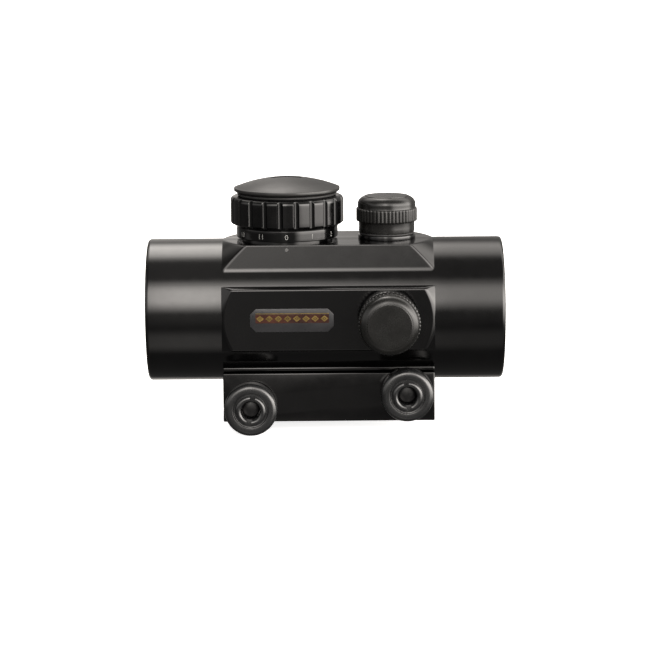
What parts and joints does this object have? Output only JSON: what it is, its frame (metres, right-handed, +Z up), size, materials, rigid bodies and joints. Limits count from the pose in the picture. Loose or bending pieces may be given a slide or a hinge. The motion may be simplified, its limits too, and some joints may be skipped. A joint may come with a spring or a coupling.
{
  "type": "red dot finder",
  "caption": "Tube-type red dot finder with a rotary brightness knob, capped elevation and windage adjusters and a side clamp for a cross-slotted accessory rail.",
  "frame": {"origin": "middle of the flat face that seats on the rail's top", "axes": "+X along the optical axis to the front, +Z up, -Y the side with the clamp nuts and the windage cap"},
  "size_m": [0.0964, 0.0511, 0.0676],
  "materials": {
    "anodised_black": "satin black anodised",
    "gloss_black": "smooth gloss black",
    "satin_grey_black": "fine-turned black anodised",
    "dark_nut_metal": "dark tumbled metal",
    "blackened_steel": "blackened",
    "white_paint": "filled white dot",
    "badge_metal": "dark plate with a gold pattern",
    "clear_glass": "polished, thin coating",
    "ruby_coated_glass": "polished with an amber red mirror coating",
    "black_rubber": "matt rubber",
    "bright_steel": "bright",
    "black_plastic": "moulded",
    "red_emitter": "clear red resin",
    "wire_insulation": "thin insulated leads",
    "board_green": "circuit board",
    "contact_brass": "turned or sprung brass",
    "cream_plastic": "moulded"
  },
  "bodies": {
    "housing": {"main_housing": "anodised_black", "index_dot": "white_paint", "badge_plate": "badge_metal", "rear_window": "clear_glass", "rear_window_seal": "black_rubber", "rear_retaining_ring": "anodised_black", "front_window": "clear_glass", "front_window_seal": "black_rubber", "front_spacer_ring": "anodised_black", "front_retaining_ring": "anodised_black", "led_wires": "wire_insulation", "bias_spring": "bright_steel", "switch_base": "anodised_black", "switch_board": "board_green", "detent_spring": "bright_steel", "knob_clip": "bright_steel", "elevation_base": "anodised_black", "windage_base": "anodised_black", "cross_bolts": "blackened_steel"},
    "detent": {"detent_ball": "bright_steel"},
    "gimbal": {"pivot_ring": "bright_steel"},
    "optical_tube": {"inner_tube": "anodised_black", "reflector_lens": "ruby_coated_glass", "corrector_lens": "clear_glass", "lens_lock_ring": "anodised_black", "led_holder": "black_plastic", "led_emitter": "red_emitter"},
    "knob": {"knob_grip": "gloss_black", "dial_ring": "anodised_black", "switch_wiper": "contact_brass", "battery_tray": "cream_plastic", "tray_contact": "contact_brass", "battery": "bright_steel"},
    "battery_seal": {"battery_cap_seal": "black_rubber"},
    "battery_lid": {"battery_cap": "satin_grey_black", "cap_contact": "contact_brass"},
    "elevation_adjuster": {"elevation_dial": "contact_brass"},
    "elevation_pusher": {"elevation_plunger": "bright_steel"},
    "elevation_seal": {"elevation_cap_seal": "black_rubber"},
    "elevation_cover": {"elevation_cap": "satin_grey_black"},
    "windage_adjuster": {"windage_dial": "contact_brass"},
    "windage_pusher": {"windage_plunger": "bright_steel"},
    "windage_seal": {"windage_cap_seal": "black_rubber"},
    "windage_cover": {"windage_cap": "satin_grey_black"},
    "clamp": {"clamp_plate": "anodised_black", "clamp_washers": "blackened_steel"},
    "rear_nut": {"rear_thumb_nut": "dark_nut_metal"},
    "front_nut": {"front_thumb_nut": "dark_nut_metal"}
  },
  "joints": [
    {"name": "brightness_turn", "type": "hinge", "parent": "housing", "child": "knob", "pos_m": [-0.011, 0, 0.0432], "axis": [0, 0, 1], "range_deg": [-330, 0]},
    {"name": "detent_press", "type": "slide", "parent": "housing", "child": "detent", "axis": [0, 0, 1], "range_m": [-0.0003, 0], "stiffness_N_per_m": 800, "deforming": ["detent_spring"]},
    {"name": "battery_seal_lift", "type": "slide", "parent": "knob", "child": "battery_seal", "axis": [0, 0, 1], "range_m": [0, 0.0025]},
    {"name": "battery_cap_turn", "type": "hinge", "parent": "battery_seal", "child": "battery_lid", "pos_m": [-0.011, 0, 0.0432], "axis": [0, 0, 1], "range_deg": [0, 900.1]},
    {"name": "elevation_turn", "type": "hinge", "parent": "housing", "child": "elevation_adjuster", "pos_m": [0.0161, 0, 0.0432], "axis": [0, 0, 1], "range_deg": [-432.1, 432.1]},
    {"name": "elevation_push", "type": "slide", "parent": "housing", "child": "elevation_pusher", "axis": [0, 0, 1], "range_m": [-0.0006, 0.0006]},
    {"name": "elevation_seal_lift", "type": "slide", "parent": "housing", "child": "elevation_seal", "axis": [0, 0, 1], "range_m": [0, 0.0024]},
    {"name": "elevation_cap_turn", "type": "hinge", "parent": "elevation_seal", "child": "elevation_cover", "pos_m": [0.0161, 0, 0.0432], "axis": [0, 0, 1], "range_deg": [0, 1080.1]},
    {"name": "windage_turn", "type": "hinge", "parent": "housing", "child": "windage_adjuster", "pos_m": [0.0161, -0.0195, 0.0238], "axis": [0, -1, 0], "range_deg": [-432.1, 432.1]},
    {"name": "windage_push", "type": "slide", "parent": "housing", "child": "windage_pusher", "axis": [0, -1, 0], "range_m": [-0.0006, 0.0006]},
    {"name": "windage_seal_lift", "type": "slide", "parent": "housing", "child": "windage_seal", "axis": [0, -1, 0], "range_m": [0, 0.0024]},
    {"name": "windage_cap_turn", "type": "hinge", "parent": "windage_seal", "child": "windage_cover", "pos_m": [0.0161, -0.0195, 0.0238], "axis": [0, -1, 0], "range_deg": [0, 1080.1]},
    {"name": "tube_pitch", "type": "hinge", "parent": "housing", "child": "gimbal", "pos_m": [-0.035, 0, 0.0238], "axis": [0, 1, 0], "range_deg": [-0.67, 0.67]},
    {"name": "tube_yaw", "type": "hinge", "parent": "gimbal", "child": "optical_tube", "pos_m": [-0.035, 0, 0.0238], "axis": [0, 0, 1], "range_deg": [-0.67, 0.67]},
    {"name": "clamp_open", "type": "slide", "parent": "housing", "child": "clamp", "axis": [0, -1, 0], "range_m": [0, 0.002]},
    {"name": "rear_nut_turn", "type": "hinge", "parent": "clamp", "child": "rear_nut", "pos_m": [-0.021, -0.0163, -0.0004], "axis": [0, -1, 0], "range_deg": [0, 900.1]},
    {"name": "front_nut_turn", "type": "hinge", "parent": "clamp", "child": "front_nut", "pos_m": [0.021, -0.0163, 0.0032], "axis": [0, -1, 0], "range_deg": [0, 900.1]}
  ],
  "couplings": [
    {"joint": "battery_cap_turn", "follows": "battery_seal_lift", "rad_per_m": 6283.2},
    {"joint": "rear_nut_turn", "follows": "clamp_open", "rad_per_m": 7854},
    {"joint": "front_nut_turn", "follows": "clamp_open", "rad_per_m": 7854},
    {"joint": "elevation_turn", "follows": "elevation_push", "rad_per_m": 12566},
    {"joint": "tube_pitch", "follows": "elevation_push", "rad_per_m": -19.569},
    {"joint": "windage_turn", "follows": "windage_push", "rad_per_m": 12566},
    {"joint": "tube_yaw", "follows": "windage_push", "rad_per_m": -19.569},
    {"joint": "elevation_cap_turn", "follows": "elevation_seal_lift", "rad_per_m": 7854},
    {"joint": "windage_cap_turn", "follows": "windage_seal_lift", "rad_per_m": 7854}
  ]
}
